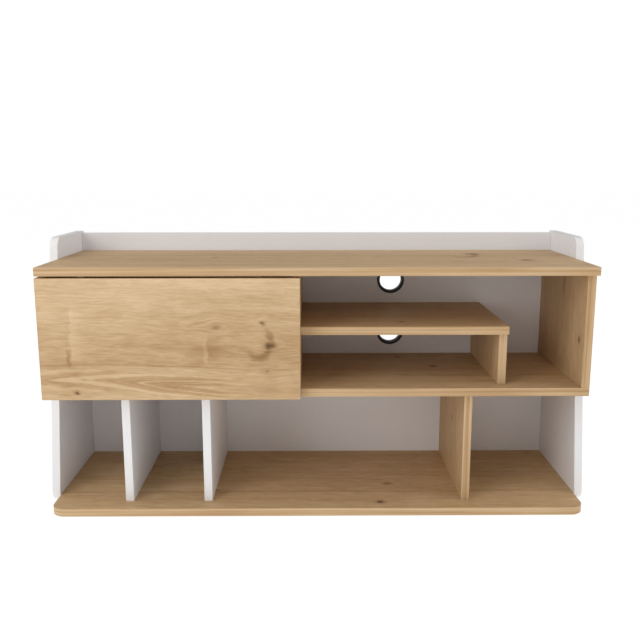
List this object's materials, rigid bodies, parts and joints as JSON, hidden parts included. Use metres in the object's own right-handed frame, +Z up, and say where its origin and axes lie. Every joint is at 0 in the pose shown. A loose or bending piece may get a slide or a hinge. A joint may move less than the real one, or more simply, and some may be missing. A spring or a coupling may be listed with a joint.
{
  "type": "tv stand",
  "caption": "Low TV stand with oak-look boards between slanted white sides, a lift-up door, a raised open shelf, open bays and cable outlets in the back.",
  "frame": {"origin": "on the floor, below the middle of the stand's width and depth", "axes": "+X to the viewer's right along the width, +Y from the front to the back, +Z up"},
  "size_m": [1.2, 0.37, 0.594],
  "materials": {
    "oak": "satin oak-look melamine",
    "white": "satin white melamine",
    "nickel": "satin nickel plating",
    "zinc": "die-cast zinc",
    "black_plastic": "moulded, fine matt",
    "nylon": "moulded nylon",
    "soft_pad": "clear soft pad",
    "beech": "raw beech",
    "oak_cap": "oak-coloured plastic cover"
  },
  "bodies": {
    "root": {"left_side_panel": "white", "right_side_panel": "white", "back_panel": "white", "top_panel": "oak", "bottom_board": "oak", "box_bottom": "oak", "box_left_side": "oak", "box_right_side": "oak", "box_divider": "oak", "raised_shelf": "oak", "shelf_support": "oak", "left_white_divider": "white", "right_white_divider": "white", "oak_divider": "oak", "left_hinge_arm": "nickel", "right_hinge_arm": "nickel", "hinge_arm_screws": "nickel", "stay_stud": "nickel", "stay_washers": "nylon", "stay_nut": "nickel", "upper_cable_outlet": "black_plastic", "lower_cable_outlet": "black_plastic", "glides": "black_plastic", "back_panel_screws": "nickel", "divider_screws": "nickel", "box_screws": "nickel", "shelf_screws": "nickel", "cam_housings": "zinc", "cam_bolts": "nickel", "cam_covers": "oak_cap", "dowels": "beech"},
    "door": {"door": "oak", "left_hinge_cup": "zinc", "right_hinge_cup": "zinc", "left_hinge_pin": "nickel", "right_hinge_pin": "nickel", "hinge_cup_screws": "nickel", "stay_bracket": "nickel", "stay_bracket_screws": "nickel", "stay_rivet": "nickel", "door_bumpers": "soft_pad"},
    "stay_arm": {"stay_arm": "nickel"}
  },
  "joints": [
    {"name": "door_lift", "type": "hinge", "parent": "root", "child": "door", "pos_m": [0, -0.177, 0.517], "axis": [-1, 0, 0], "range_deg": [0, 90]},
    {"name": "stay_swing", "type": "hinge", "parent": "door", "child": "stay_arm", "pos_m": [-0.557, -0.153, 0.417], "axis": [-1, 0, 0], "range_deg": [-45, 0]}
  ],
  "couplings": [
    {"joint": "stay_swing", "follows": "door_lift", "ratio": -0.5}
  ]
}
